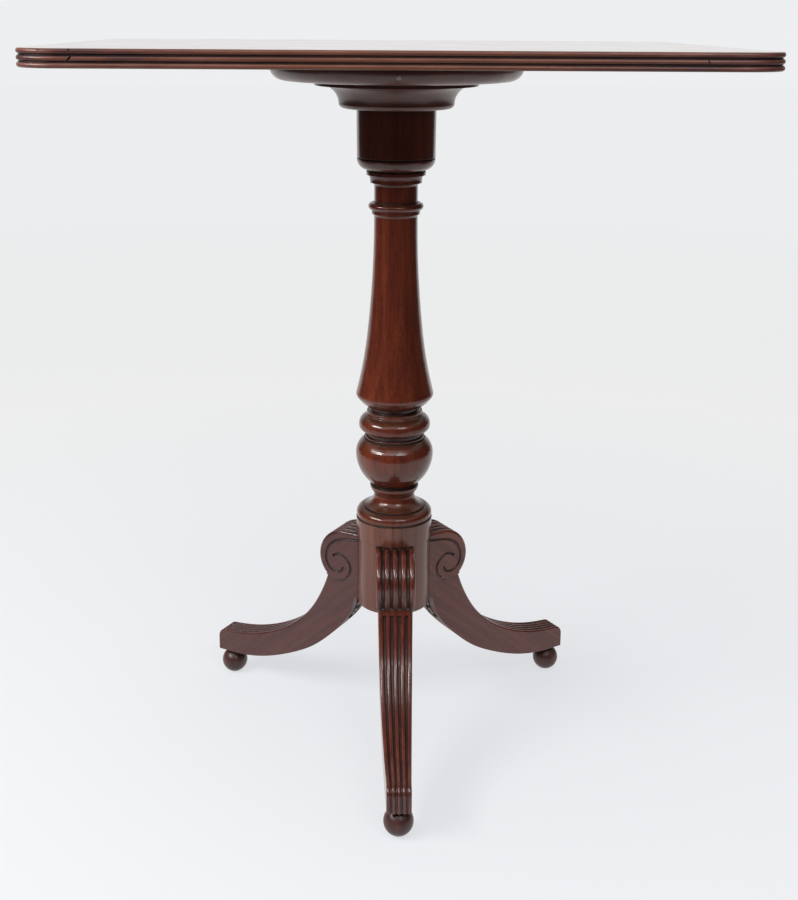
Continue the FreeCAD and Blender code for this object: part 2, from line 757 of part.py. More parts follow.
def volute_grooves():
    """Round-bottomed grooves carved along the volute on both cheeks of the scroll."""
    centre, scroll, radius = scroll_centre(), length("scroll_radius"), length("volute_groove_radius")
    cutters = []
    for cheek in (-1, 1):
        side = centre + ACROSS * (cheek * length("scroll_width") / 2)
        for shares in (BAND_GROOVE_SHARES, EYE_GROOVE_SHARES):
            curve = Part.BSplineCurve()
            curve.interpolate([side + ALONG * (scroll * out) + UP * (scroll * rise) for out, rise in shares])
            mouth = Part.makeCircle(radius, curve.StartPoint, curve.tangent(curve.FirstParameter)[0])
            cutters.append(Part.Wire(curve.toShape()).makePipeShell([Part.Wire(mouth)], True, False))
    return cutters


def arm_run():
    """The strap arm's bend and tip, and how far its slope goes out and down for each unit of length."""
    bend, tip, drop = size("strap_bend_reach"), size("strap_tip_reach"), size("strap_tip_drop")
    run = ((tip - bend) * (tip - bend) + drop * drop).root()
    return bend, tip, drop, (tip - bend) / run, drop / run


def arm_corners():
    """An arm of the strap from the side: flat under the drum, then bent down along the leg's belly."""
    thick = size("strap_thickness")
    bend, tip, drop, level, fall = arm_run()
    mitre = thick * fall / (level + 1)
    return [(ZERO, ZERO), (bend, ZERO), (tip, -drop), (tip - thick * fall, -drop - thick * level),
            (bend - mitre, -thick), (ZERO, -thick)]


def strap_recess():
    """The shallow bed let into the leg's belly for the strap's arm."""
    bend, tip, drop, level, fall = arm_run()
    bottom = length("drum_bottom_height")
    outward = point(fall.number, 0, level.number)
    along = point(level.number, 0, -fall.number)
    start = point(bend.number, 0, bottom) + outward * gap.number
    end = point(tip.number, 0, bottom - drop.number) + (outward + along) * gap.number
    deep = outward * -(length("strap_thickness") + overrun.number)
    width = length("strap_arm_width") + gap.number * 2
    return prism([(spot.x, spot.z) for spot in (start, end, end + deep, start + deep)], width)


def make_leg_shape():
    pieces = make_scroll() + make_blade() + make_nose()
    leg = pieces[0].fuse(pieces[1:]).removeSplitter()
    drum_bottom, slack = length("drum_bottom_height"), overrun.number
    drum_radius = length("drum_diameter") / 2 + gap.number
    drum = Part.makeCylinder(drum_radius, length("drum_height") + slack, point(0, 0, drum_bottom - slack))
    leg = leg.cut([drum, strap_recess(), foot_socket()] + volute_grooves())
    leg = leg.fuse(make_tongue())
    return leg.cut(strap_screws(gap.number))


def foot_socket():
    """The hole for a ball foot's spigot, with a flat seat round its mouth for the foot's neck."""
    reach, seat = length("foot_reach"), length("foot_height")
    mouth = Part.makeCylinder(length("foot_neck_diameter") / 2 + gap.number, seat, point(reach, 0, 0))
    hole = Part.makeCylinder(length("foot_spigot_diameter") / 2 + gap.number,
                             length("foot_spigot_length") + gap.number, point(reach, 0, seat))
    return mouth.fuse(hole)


# Feet: turned balls, each with a short neck and a spigot that is glued up into the toe.
def make_foot(name, direction):
    body = new_body("foot_" + name)
    radius, neck, flat = half("foot_diameter"), half("foot_neck_diameter"), half("foot_flat_diameter")
    spigot, seat = half("foot_spigot_diameter"), size("foot_height")
    belly = (radius * radius - flat * flat).root()
    shoulder = belly + (radius * radius - neck * neck).root()
    turned(body, "foot_%s_turning" % name, [
        (ZERO, seat + size("foot_spigot_length"), STRAIGHT),
        (spigot, seat + size("foot_spigot_length"), STRAIGHT),
        (spigot, seat, STRAIGHT),
        (neck, seat, STRAIGHT),
        (neck, shoulder, STRAIGHT),
        (radius, belly, UPRIGHT_END),
        (flat, ZERO, UPRIGHT_START),
        (ZERO, ZERO, STRAIGHT)])
    turn = FreeCAD.Rotation(UP, direction)
    spot = turn.multVec(ALONG)
    placed(body, size("foot_reach") * spot.x, size("foot_reach") * spot.y, turn=direction)
    return body


# Strap: an iron spider under the drum, one arm bent down along each leg, held with screws.
def make_strap():
    body = new_body("leg_strap_iron")
    thick = size("strap_thickness")
    outline = [(x, z, STRAIGHT) for x, z in arm_corners()]
    arm = padded(body, "strap_arm", outline, "XZ_Plane", size("strap_arm_width"), both_ways=True)
    once_for_each_leg(body, arm, "V_Axis")
    radius = half("strap_disc_diameter")
    turned(body, "strap_disc", [(ZERO, ZERO, STRAIGHT), (radius, ZERO, STRAIGHT), (radius, -thick, STRAIGHT),
                                (ZERO, -thick, STRAIGHT)])
    return placed(body, z=size("drum_bottom_height"), turn=LEG_DIRECTIONS["front"])


# Screws: countersunk wood screws. Each group of like screws is one node of separate solids.
def screw(long, clearance):
    """A screw that points down, its head's face at zero, or with a clearance the hole that it needs."""
    head, shank = length("screw_head") / 2 + clearance, length("screw_shank") / 2 + clearance
    sink, taper = length("screw_head_high"), length("screw_point_high")
    corners = [(0, 0), (head, 0), (shank, -sink), (shank, taper - long), (0, -long - clearance)]
    spots = [point(x, 0, z) for x, z in corners]
    return Part.Face(Part.makePolygon(spots + spots[:1])).revolve(point(0, 0, 0), UP, 360)


def screw_ring(long, ring, height, upward, clearance):
    screws = []
    for index in range(SCREWS_ROUND):
        turn = FreeCAD.Rotation(UP, 360 / SCREWS_ROUND * index)
        one = screw(long, clearance)
        if upward:
            one.rotate(point(0, 0, 0), ALONG, 180)
        one.translate(turn.multVec(ALONG) * ring + UP * height)
        screws.append(one)
    return screws


def boss_screws(clearance):
    long, ring = length("boss_screw_length"), length("boss_screw_ring")
    return screw_ring(long, ring, plate_bottom.number, True, clearance)


def block_screws(clearance):
    long, ring = length("block_screw_length"), length("block_screw_ring")
    return screw_ring(long, ring, top_bottom.number, False, clearance)


SCREW_PLACE_SHARES = (0.42, 0.82)


def strap_screws(clearance):
    """The screws of one arm, for a leg that lies along X, square to the arm's sloping part."""
    bend, tip, drop, level, fall = arm_run()
    thick = length("strap_thickness")
    inward = point(-fall.number, 0, -level.number)
    start = point(bend.number, 0, length("drum_bottom_height")) + inward * thick
    run = point(tip.number - bend.number, 0, -drop.number)
    lean = FreeCAD.Rotation(UP, inward)
    screws = []
    for share in SCREW_PLACE_SHARES:
        one = screw(length("strap_screw_length"), clearance)
        one.Placement = FreeCAD.Placement(start + run * share, lean)
        screws.append(one)
    return screws


def shaped(name, shape, turn=0):
    """A sub-part whose form needs a shape of its own, turned about the column's axis to its place."""
    piece = doc.addObject("Part::Feature", name)
    piece.Label = name
    piece.Shape = shape
    piece.Placement = FreeCAD.Placement(FreeCAD.Vector(), FreeCAD.Rotation(UP, turn))
    return piece


def drilled(name, blank, holes, turn=0):
    cutter = shaped(name + "_holes", Part.Compound(holes), turn)
    piece = doc.addObject("Part::Cut", name)
    piece.Label = name
    piece.Base = blank
    piece.Tool = cutter
    return piece


def every_arm(shapes):
    copies = []
    for direction in LEG_DIRECTIONS.values():
        for shape in shapes:
            one = shape.copy()
            one.rotate(point(0, 0, 0), UP, direction)
            copies.append(one)
    return copies


leg_shape = make_leg_shape()
subparts = [
    drilled("table_top", make_top(), boss_screws(gap.number)),
    drilled("boss_plate", make_plate(), boss_screws(gap.number) + block_screws(gap.number)),
    drilled("boss_block", make_block(), block_screws(gap.number)),
    make_column(),
    make_wedge(),
    drilled("leg_strap", make_strap(), every_arm(strap_screws(gap.number))),
    shaped("boss_screws", Part.Compound(boss_screws(0))),
    shaped("block_screws", Part.Compound(block_screws(0))),
    shaped("strap_screws", Part.Compound(every_arm(strap_screws(0)))),
]
for side, direction in LEG_DIRECTIONS.items():
    subparts.append(shaped("leg_" + side, leg_shape, direction))
    subparts.append(make_foot(side, direction))

doc.recompute()
for item in doc.Objects:
    if {"Invalid", "Error"} & set(item.State):
        raise RuntimeError("%s failed to build: %s" % (item.Name, item.getStatusString()))
for piece in subparts:
    if piece.Shape.isNull() or not piece.Shape.isValid() or not piece.Shape.Solids:
        raise RuntimeError("%s has no valid solid" % piece.Label)

os.makedirs(NODE_FOLDER, exist_ok=True)
for piece in subparts:
    piece.Shape.exportStep(os.path.join(NODE_FOLDER, piece.Label + ".step"))
    print("%-14s solids %d volume %.0f" % (piece.Label, len(piece.Shape.Solids), piece.Shape.Volume))
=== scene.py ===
import math
import random

import bpy
from mathutils import Matrix, Vector


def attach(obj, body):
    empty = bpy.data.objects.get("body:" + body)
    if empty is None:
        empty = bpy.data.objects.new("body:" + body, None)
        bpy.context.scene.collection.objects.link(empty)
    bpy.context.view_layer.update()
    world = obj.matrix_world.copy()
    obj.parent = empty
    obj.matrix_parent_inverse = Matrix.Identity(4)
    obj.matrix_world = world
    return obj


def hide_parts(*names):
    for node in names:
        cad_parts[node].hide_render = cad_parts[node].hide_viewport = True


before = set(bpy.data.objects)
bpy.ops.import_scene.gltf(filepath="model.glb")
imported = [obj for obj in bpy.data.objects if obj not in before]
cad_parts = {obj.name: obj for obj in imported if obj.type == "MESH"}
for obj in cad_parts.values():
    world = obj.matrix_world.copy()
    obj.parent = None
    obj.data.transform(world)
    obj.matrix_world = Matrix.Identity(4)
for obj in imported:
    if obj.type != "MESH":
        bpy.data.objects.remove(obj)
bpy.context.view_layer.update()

MM = 0.001


# Table top. One wide board of mahogany with rounded corners, its edge worked into three reeds all
# round with a scratch stock, and French polished. Knocks have chipped the reeds near one corner.
def pick(*objects):
    """Leaves only these objects selected, the first of them active."""
    if bpy.context.mode != "OBJECT":
        bpy.ops.object.mode_set(mode="OBJECT")
    bpy.ops.object.select_all(action="DESELECT")
    for each in objects:
        each.select_set(True)
    bpy.context.view_layer.objects.active = objects[0]


def blank_from(node, name):
    """Copies a solid's skin and joins its triangles up, ready to be worked."""
    blank = bpy.data.objects.new(name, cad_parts[node].data.copy())
    bpy.context.collection.objects.link(blank)
    pick(blank)
    bpy.ops.mesh.customdata_custom_splitnormals_clear()
    bpy.ops.object.mode_set(mode="EDIT")
    bpy.ops.mesh.select_all(action="SELECT")
    bpy.ops.mesh.remove_doubles(threshold=0.001 * MM)
    bpy.ops.object.mode_set(mode="OBJECT")
    return blank


def worked(piece, kind, **settings):
    """Adds one modifier to the piece and applies it."""
    modifier = piece.modifiers.new(kind.lower(), kind)
    for key, value in settings.items():
        setattr(modifier, key, value)
    pick(piece)
    bpy.ops.object.modifier_apply(modifier=modifier.name)


def joined(name, parts):
    """Makes several shapes into one piece, with its place in its mesh."""
    pick(*parts)
    if len(parts) > 1:
        bpy.ops.object.join()
    whole = bpy.context.active_object
    whole.name = name
    bpy.ops.object.transform_apply(location=True, rotation=True, scale=True)
    return whole


def cut_away(piece, cutters):
    """Cuts the shapes of all the cutters out of the piece."""
    cutter = joined("cutter", cutters)
    worked(piece, "BOOLEAN", operation="DIFFERENCE", object=cutter, solver="EXACT")
    bpy.data.objects.remove(cutter)


def fitted(piece, material, slot, *nodes):
    """Shades a finished piece, gives it its finish and puts it in place of its solids."""
    pick(piece)
    bpy.ops.object.shade_smooth_by_angle(angle=math.radians(50))
    worked(piece, "WEIGHTED_NORMAL", keep_sharp=True)
    piece.data.materials.clear()
    piece.data.materials.append(material)
    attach(piece, "root")
    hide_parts(*nodes)


def put(tree, kind, inputs=(), **settings):
    """Adds a node, sets it, and fills its inputs from numbers, colours or other nodes' outputs."""
    made = tree.nodes.new("ShaderNode" + kind)
    for key, value in settings.items():
        setattr(made, key, value)
    for socket, value in dict(inputs).items():
        if isinstance(value, bpy.types.NodeSocket):
            tree.links.new(value, made.inputs[socket])
        else:
            made.inputs[socket].default_value = value
    return made


def shades(tree, factor, stops, smooth=False):
    """A colour ramp from a list of place and colour; a single number stands for a grey."""
    ramp = put(tree, "ValToRGB", {"Fac": factor})
    band = ramp.color_ramp
    band.interpolation = "EASE" if smooth else "LINEAR"
    while len(band.elements) < len(stops):
        band.elements.new(0.5)
    for element, (place, colour) in zip(band.elements, stops):
        element.position = place
        element.color = (colour,) * 3 + (1,) if isinstance(colour, (int, float)) else (*colour, 1)
    return ramp.outputs["Color"]


def mixed(tree, kind, amount, first, second):
    """Mixes two colours, each given as a colour or as another node's output."""
    mix = put(tree, "Mix", data_type="RGBA", blend_type=kind)
    for socket, value in ((0, amount), (6, first), (7, second)):
        if isinstance(value, bpy.types.NodeSocket):
            tree.links.new(value, mix.inputs[socket])
        else:
            mix.inputs[socket].default_value = value if isinstance(value, (int, float)) else (*value, 1)
    return mix.outputs[2]


def new_finish(name):
    """Starts a material: gives back the material, its nodes and its surface."""
    finish = bpy.data.materials.new(name)
    finish.use_nodes = True
    tree = finish.node_tree
    tree.nodes.clear()
    surface = put(tree, "BsdfPrincipled")
    put(tree, "OutputMaterial", {"Surface": surface.outputs[0]})
    return finish, tree, surface


UPRIGHT_GRAIN = Matrix.Identity(3)
LONG_GRAIN = Matrix.Rotation(math.radians(90), 3, "Y")
WAX_AND_GROOVE_SHADE = (0.006, 0.004, 0.004)  # the black of old wax and dust in grooves and corners, and the painted shade that falls there
WAX_DULLNESS = 0.65
PAINTED_CORNER_SHADE = (0.50, 0.56, 0.60)  # painted shade: what the wood darkens to in corners, in recesses and where two pieces meet
CORNER_REACH = 16


def mahogany(name, grain, shift, dark, middle, warm, sheen=0.24, coat=0.25, waves=0.10, groove_shade_reach=3.2):
    """French polished mahogany. The grain turns the wood so that its fibres run along Z.

    Sheen is the roughness of the polish, coat the strength of its clear top layer, waves how far its
    surface is uneven, and the groove reach how far wax, dust and painted shade darken a groove, in
    millimetres.
    """
    finish, tree, surface = new_finish(name)
    place = put(tree, "TexCoord").outputs["Object"]
    turned = put(tree, "Mapping", {"Vector": place, "Location": shift, "Rotation": grain.to_euler()})
    along = turned.outputs["Vector"]

    def stretched(across, length, detail, distortion=0.0):
        scale = put(tree, "Mapping", {"Vector": along, "Scale": (across, across, length)})
        noise = put(tree, "TexNoise", {"Vector": scale.outputs[0], "Scale": 1.0, "Detail": detail,
                                       "Roughness": 0.6, "Distortion": distortion})
        return noise.outputs["Fac"]

    ribbon = stretched(115, 4.5, 3.5, 0.3)
    fibre = stretched(700, 16, 2.0)
    cloud = stretched(14, 6, 2.0)
    pore = stretched(1500, 75, 1.0)
    body = shades(tree, ribbon, [(0.34, dark), (0.50, middle), (0.68, warm)])
    body = mixed(tree, "MULTIPLY", 0.45, body, shades(tree, fibre, [(0.30, 0.55), (0.62, 1.0)]))
    body = mixed(tree, "MULTIPLY", 0.35, body, shades(tree, cloud, [(0.35, 0.70), (0.65, 1.0)]))
    pores = shades(tree, pore, [(0.355, 0.0), (0.40, 1.0)])
    body = mixed(tree, "MULTIPLY", 0.35, body, pores)
    # Wax and dust in the grooves, with painted shade laid in the same places: darkest where a spot is most
    # closed in.
    hollow = put(tree, "AmbientOcclusion", {"Distance": groove_shade_reach * MM}, samples=8, only_local=False)
    wax_and_groove_shade = shades(tree, hollow.outputs["AO"], [(0.50, 0.0), (0.90, 1.0)])
    # Painted shade: the wood darkens wherever it is closed in, as in corners and under overhangs.
    corner = put(tree, "AmbientOcclusion", {"Distance": CORNER_REACH * MM}, samples=8, only_local=False)
    painted_corner_shade = shades(tree, corner.outputs["AO"], [(0.40, PAINTED_CORNER_SHADE), (0.90, 1.0)])
    body = mixed(tree, "MULTIPLY", 1.0, body, painted_corner_shade)
    body = mixed(tree, "MIX", wax_and_groove_shade, WAX_AND_GROOVE_SHADE, body)
    surface.inputs["IOR"].default_value = 1.5
    surface.inputs["Coat Weight"].default_value = coat
    surface.inputs["Coat Roughness"].default_value = 0.05
    tree.links.new(body, surface.inputs["Base Color"])
    smear = stretched(38, 22, 3.0)
    gloss = shades(tree, smear, [(0.30, sheen * 0.75), (0.70, sheen * 1.3)])
    tree.links.new(mixed(tree, "MIX", wax_and_groove_shade, (WAX_DULLNESS,) * 3, gloss), surface.inputs["Roughness"])
    dents = put(tree, "Bump", {"Height": pores, "Strength": 0.10, "Distance": 0.05 * MM})
    uneven = put(tree, "Bump", {"Height": stretched(60, 30, 1.0), "Strength": waves, "Distance": 0.6 * MM,
                                "Normal": dents.outputs[0]})
    tree.links.new(uneven.outputs[0], surface.inputs["Normal"])
    tree.links.new(uneven.outputs[0], surface.inputs["Coat Normal"])
    return finish


def overlaid(finish, amount, colour):
    """Lays one more colour over a finish, as much of it as the amount says at each place."""
    tree = finish.node_tree
    base = tree.nodes["Principled BSDF"].inputs["Base Color"]
    tree.links.new(mixed(tree, "MIX", amount, base.links[0].from_socket, colour), base)


def dulled(finish, amount, roughness):
    """Takes the polish off a finish, as much of it as the amount says at each place."""
    tree = finish.node_tree
    polish = tree.nodes["Principled BSDF"].inputs["Roughness"]
    tree.links.new(mixed(tree, "MIX", amount, polish.links[0].from_socket, (roughness,) * 3), polish)


def facing(tree, start, end):
    """Goes from 0 to 1 as a face turns: a start or end of 1 is level, 0 upright, -1 underneath."""
    height = put(tree, "SeparateXYZ", {"Vector": put(tree, "TexCoord").outputs["Normal"]}).outputs["Z"]
    return put(tree, "MapRange", {"Value": height, "From Min": start, "From Max": end}).outputs[0]


KNOCKS = [  # place, size and lean of each knock in the reeds, in millimetres and degrees
    ((-264.5, -240.6, 712.0), (0.8, 2.3, 4.4), 42), ((-264.0, -240.0, 718.8), (1.6, 1.2, 0.9), 10),
    ((-289.0, -239.6, 718.6), (3.2, 2.4, 1.0), -8), ((118.0, -240.6, 705.6), (1.5, 1.3, 0.8), 5),
    ((242.0, -240.4, 712.6), (0.5, 1.6, 2.0), -30), ((60.0, -240.4, 718.9), (2.4, 0.9, 0.6), 4)]
board = blank_from("table_top", "reeded_board")
knocks = []
for place, size, lean in KNOCKS:
    bpy.ops.mesh.primitive_ico_sphere_add(subdivisions=3, radius=MM, location=Vector(place) * MM,
                                          rotation=(0, math.radians(lean), 0), scale=size)
    knocks.append(bpy.context.active_object)
cut_away(board, knocks)

TOP_COLOURS = ((0.080, 0.018, 0.012), (0.125, 0.030, 0.017), (0.180, 0.048, 0.024))
RUBBED_EDGE = (0.200, 0.080, 0.063)
STAINED_EDGE = (0.045, 0.018, 0.024)
HANDLED_EDGE = (0.190, 0.058, 0.022)  # the warmer colour at the middle of each side
# The black of wax and of painted shade deep in the reeds' grooves.
GROOVE_WAX_AND_SHADE = (0.007, 0.005, 0.007)
HANDLED_REACH = (0.26, 0.08)  # how far from the middle it starts, and where it is full, in metres
EDGE_DULLNESS = 0.38
top_wood = mahogany("top_mahogany", LONG_GRAIN, (0, 0, 0), *TOP_COLOURS,
                    sheen=0.07, coat=0.0, waves=0.03, groove_shade_reach=4.5)
tree = top_wood.node_tree
off_level = facing(tree, 0.99, 0.93)
edge = put(tree, "Math", {0: off_level, 1: facing(tree, -0.99, -0.93)}, operation="MULTIPLY").outputs[0]
place = put(tree, "TexCoord").outputs["Object"]
patches = put(tree, "Mapping", {"Vector": place, "Scale": (14, 14, 160)}).outputs[0]
patches = put(tree, "TexNoise", {"Vector": patches, "Scale": 1.0, "Detail": 4.0, "Roughness": 0.65})
patches = patches.outputs["Fac"]
along = put(tree, "SeparateXYZ", {"Vector": place}).outputs["X"]
along = put(tree, "Math", {0: along}, operation="ABSOLUTE").outputs[0]
handled = put(tree, "MapRange", {"Value": along, "From Min": HANDLED_REACH[0],
                                 "From Max": HANDLED_REACH[1], "To Max": 0.55}).outputs[0]
for amount, colour in ((shades(tree, patches, [(0.44, 0.0), (0.62, 0.7)]), RUBBED_EDGE),
                       (shades(tree, patches, [(0.36, 0.8), (0.48, 0.0)]), STAINED_EDGE),
                       (handled, HANDLED_EDGE)):
    overlaid(top_wood, mixed(tree, "MIX", edge, (0.0, 0.0, 0.0), amount), colour)
# The reeds' grooves are laid black where they are deep: wax, with painted shade.
groove = put(tree, "AmbientOcclusion", {"Distance": 3.5 * MM}, samples=8, only_local=False).outputs["AO"]
overlaid(top_wood, shades(tree, groove, [(0.60, 0.95), (0.93, 0.0)]), GROOVE_WAX_AND_SHADE)
dulled(top_wood, off_level, EDGE_DULLNESS)
fitted(board, top_wood, "top_wood", "table_top")


# Plate and block. Two discs turned from flat boards: the plate has an ovolo edge, and the block under
# it a fillet, a cavetto and a small bead. Screws hold the plate to the board from below.
def turning(node, name, heading, axis=(0.0, 0.0), facets=144, ease=0.28):
    """Takes a turning's outline from its solid and spins it again as one fine skin.

    The outline is cut at the heading, in degrees, and its arrises are eased, by millimetres.
    """
    piece = blank_from(node, name)
    out = Vector((math.cos(math.radians(heading)), math.sin(math.radians(heading)), 0))
    centre = Vector((*axis, 0))
    bpy.ops.object.mode_set(mode="EDIT")
    bpy.ops.mesh.select_all(action="SELECT")
    bpy.ops.mesh.bisect(plane_co=centre, plane_no=(-out.y, out.x, 0), clear_inner=True, clear_outer=True)
    bpy.ops.mesh.select_all(action="SELECT")
    bpy.ops.mesh.bisect(plane_co=centre, plane_no=out, clear_inner=True)
    bpy.ops.mesh.select_all(action="SELECT")
    bpy.ops.mesh.dissolve_limited(angle_limit=math.radians(0.5))
    bpy.ops.object.mode_set(mode="OBJECT")
    spots = [vertex.co for vertex in piece.data.vertices]
    ways = {index: [] for index in range(len(spots))}
    for edge in piece.data.edges:
        first, second = edge.vertices
        ways[first].append((spots[second] - spots[first]).normalized())
        ways[second].append((spots[first] - spots[second]).normalized())
    for index, vertex in enumerate(piece.data.vertices):
        off_axis = (Vector((vertex.co.x, vertex.co.y, 0)) - centre).length > 0.01 * MM
        vertex.select = off_axis and len(ways[index]) == 2 and ways[index][0].dot(ways[index][1]) > -0.94
    bpy.ops.object.mode_set(mode="EDIT")
    bpy.ops.mesh.bevel(affect="VERTICES", offset=ease * MM, segments=3, clamp_overlap=True)
    bpy.ops.mesh.select_all(action="SELECT")
    bpy.ops.mesh.spin(steps=facets, angle=math.tau, center=centre, axis=(0, 0, 1))
    bpy.ops.mesh.select_all(action="SELECT")
    bpy.ops.mesh.remove_doubles(threshold=0.002 * MM)
    bpy.ops.mesh.normals_make_consistent(inside=False)
    bpy.ops.object.mode_set(mode="OBJECT")
    return piece


DISC_COLOURS = ((0.095, 0.024, 0.018), (0.135, 0.036, 0.026), (0.180, 0.052, 0.035))
CHIP_PLACE = (-1.4, -122.5, 692.5)  # a chip in the plate's front edge, in millimetres
CHIP_REACH = (3.0, 3.6)  # how far from there its colour is full, and where it ends
CHIP_RAGGEDNESS = 2.4
PALE_WOOD = (0.42, 0.33, 0.27)
disc_wood = mahogany("disc_mahogany", LONG_GRAIN, (0.3, 0.1, 0.7), *DISC_COLOURS, sheen=0.34)
tree = disc_wood.node_tree
place = put(tree, "TexCoord").outputs["Object"]
ragged = put(tree, "TexNoise", {"Vector": place, "Scale": 700.0, "Detail": 2.0}).outputs["Fac"]
reach = put(tree, "VectorMath", {0: place, 1: Vector(CHIP_PLACE) * MM}, operation="DISTANCE")
reach = put(tree, "Math", {0: ragged, 1: CHIP_RAGGEDNESS * MM, 2: reach.outputs["Value"]},
            operation="MULTIPLY_ADD").outputs[0]
chip = put(tree, "MapRange", {"Value": reach, "From Min": CHIP_REACH[0] * MM,
                              "From Max": CHIP_REACH[1] * MM, "To Min": 0.8, "To Max": 0.0}).outputs[0]
overlaid(disc_wood, chip, PALE_WOOD)
plate = turning("boss_plate", "ovolo_plate", 45)
fitted(plate, disc_wood, "boss_wood", "boss_plate")
block = turning("boss_block", "cavetto_block", 45)
fitted(block, disc_wood, "boss_wood", "boss_block")


# Column. One turning in straight-grained mahogany, from the plain cap down to the drum that takes the
# legs. An old shake, a fine split along the grain, runs down its front through the base.
SHAKE_PLACE = (-2.6, -40.2, 231)  # the split's middle, in millimetres
SHAKE_SIZE = (0.3, 3.4, 36)
SHAKE_LEAN = 1.2
column = turning("column", "turned_column", 90, facets=128)
bpy.ops.mesh.primitive_cube_add(size=MM, location=Vector(SHAKE_PLACE) * MM, scale=SHAKE_SIZE,
                                rotation=(0, math.radians(SHAKE_LEAN), 0))
cut_away(column, [bpy.context.active_object])

COLUMN_COLOURS = ((0.110, 0.020, 0.011), (0.148, 0.028, 0.013), (0.198, 0.040, 0.017))
DRUM_TOP = (234, 236)  # over these heights, in millimetres, the drum's lighter band ends: partly worn polish, partly painted light of the floor's reflection
RUBBED_AND_LIT_DRUM = (0.25, 0.110, 0.070)
UPWARD_BROWN = (0.040, 0.027, 0.016)  # the darker brown painted on the faces that look up
column_wood = mahogany("column_mahogany", UPRIGHT_GRAIN, (0, 0, 0), *COLUMN_COLOURS,
                       sheen=0.19, coat=0.12)
tree = column_wood.node_tree
place = put(tree, "TexCoord").outputs["Object"]
height = put(tree, "SeparateXYZ", {"Vector": place}).outputs["Z"]
# The drum below is painted lighter in streaks: worn polish, and painted light of the floor reflected in
# it.
rubbed_and_lit = put(tree, "MapRange", {"Value": height, "From Min": DRUM_TOP[0] * MM,
                                "From Max": DRUM_TOP[1] * MM, "To Min": 0.45, "To Max": 0.0}).outputs[0]
streaks = put(tree, "Mapping", {"Vector": place, "Scale": (110, 110, 5)}).outputs[0]
streaks = put(tree, "TexNoise", {"Vector": streaks, "Scale": 1.0, "Detail": 3.0}).outputs["Fac"]
rubbed_and_lit = mixed(tree, "MULTIPLY", 1.0, rubbed_and_lit, shades(tree, streaks, [(0.38, 0.25), (0.62, 1.0)]))
overlaid(column_wood, rubbed_and_lit, RUBBED_AND_LIT_DRUM)
# Faces that look up are painted a darker brown.
upward_brown = mixed(tree, "MIX", facing(tree, 0.45, 0.80), (0.0, 0.0, 0.0), (0.5, 0.5, 0.5))
overlaid(column_wood, upward_brown, UPWARD_BROWN)
fitted(column, column_wood, "column_wood", "column")


# Wedge. A slip of oak, driven into the top of the column's tenon before the board went on.
OAK_COLOURS = ((0.20, 0.11, 0.05), (0.42, 0.28, 0.15))
oak, tree, surface = new_finish("bare_oak")
fibres = put(tree, "Mapping", {"Vector": put(tree, "TexCoord").outputs["Object"], "Scale": (500, 500, 30)})
grain = put(tree, "TexNoise", {"Vector": fibres.outputs[0], "Scale": 1.0}).outputs["Fac"]
tree.links.new(shades(tree, grain, [(0.3, OAK_COLOURS[0]), (0.7, OAK_COLOURS[1])]),
               surface.inputs["Base Color"])
surface.inputs["Roughness"].default_value = 0.7
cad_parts["tenon_wedge"].data.materials.clear()
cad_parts["tenon_wedge"].data.materials.append(oak)


# Legs. Each is sawn from a plank to a sabre curve, reeded on its back with a carved volute on both cheeks,
# eased by hand, and slid up into the drum on a dovetail. Wax, dust and painted shade fill the grooves.
DIRECTIONS = {"front": -90, "right": 30, "left": 150}
GRAIN_SLOPE = 40  # how far the grain of a leg's plank rises towards the column, in degrees
BELLY_DULLNESS = 0.7
LEG_COLOURS_WITH_LIGHT = {  # the dark, middle and warm colours of each leg: its plank's own, with painted light, as the left is painted mauve for the veil on its side and the right warmer for its lit side
    "front": ((0.098, 0.020, 0.014), (0.148, 0.031, 0.019), (0.203, 0.048, 0.026)),
    "right": ((0.110, 0.023, 0.019), (0.158, 0.036, 0.027), (0.235, 0.062, 0.036)),
    "left": ((0.092, 0.026, 0.026), (0.117, 0.036, 0.033), (0.138, 0.045, 0.040))}
for side, direction in DIRECTIONS.items():
    leg = blank_from("leg_" + side, "sabre_leg_" + side)
    bpy.ops.object.mode_set(mode="EDIT")
    bpy.ops.mesh.select_all(action="SELECT")
    bpy.ops.mesh.dissolve_limited(angle_limit=math.radians(1))
    bpy.ops.object.mode_set(mode="OBJECT")
    worked(leg, "BEVEL", width=0.25 * MM, segments=2, limit_method="ANGLE", angle_limit=math.radians(40))
    grain = Matrix.Rotation(math.radians(90 - GRAIN_SLOPE), 3, "Y") @ Matrix.Rotation(
        math.radians(-direction), 3, "Z")
    # Each leg's colours carry painted light for the side it faces.
    leg_wood = mahogany("leg_mahogany_" + side, grain, (0.1 * direction, 0, 0), *LEG_COLOURS_WITH_LIGHT[side],
                        coat=0.35 if side == "front" else 0.1, waves=0.04, groove_shade_reach=5.0)
    dulled(leg_wood, facing(leg_wood.node_tree, -0.15, -0.40), BELLY_DULLNESS)
    fitted(leg, leg_wood, "leg_wood", "leg_" + side)


# Feet. Turned balls of darker wood, each with a short neck and a spigot glued up into the toe.
FOOT_COLOURS = ((0.055, 0.017, 0.016), (0.085, 0.026, 0.022), (0.115, 0.037, 0.028))
FEET_RADIUS = 210  # of the circle that the feet stand on, in millimetres
foot_wood = mahogany("foot_mahogany", UPRIGHT_GRAIN, (0.5, 0.2, 0), *FOOT_COLOURS, sheen=0.36, coat=0.0)
for side, direction in DIRECTIONS.items():
    heading = math.radians(direction)
    spot = (FEET_RADIUS * MM * math.cos(heading), FEET_RADIUS * MM * math.sin(heading))
    foot = turning("foot_" + side, "ball_foot_" + side, direction + 40, spot, facets=72, ease=0.2)
    fitted(foot, foot_wood, "foot_wood", "foot_" + side)


